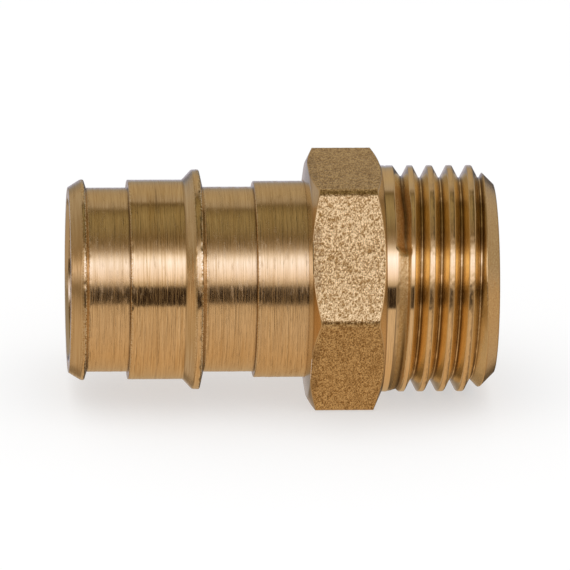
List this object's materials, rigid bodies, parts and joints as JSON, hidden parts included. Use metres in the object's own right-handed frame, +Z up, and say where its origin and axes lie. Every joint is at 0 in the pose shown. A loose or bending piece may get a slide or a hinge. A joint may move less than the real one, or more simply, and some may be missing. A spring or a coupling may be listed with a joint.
{
  "type": "pex threaded coupling",
  "caption": "Brass pipe coupling with a grooved spigot for plastic pipe, a hexagon to hold and a male pipe thread.",
  "frame": {"origin": "on the waterway's axis, where the hexagon's turned face meets the collar of the male thread", "axes": "+X along the waterway towards the thread's end face, -X towards the pipe end, +Z up with the hexagon lying on one flat"},
  "size_m": [0.0391, 0.0246, 0.0216],
  "materials": {
    "brass": "turned bright, with raw forged grain on the hexagon"
  },
  "bodies": {
    "root": {"coupling_body": "brass"}
  },
  "joints": []
}
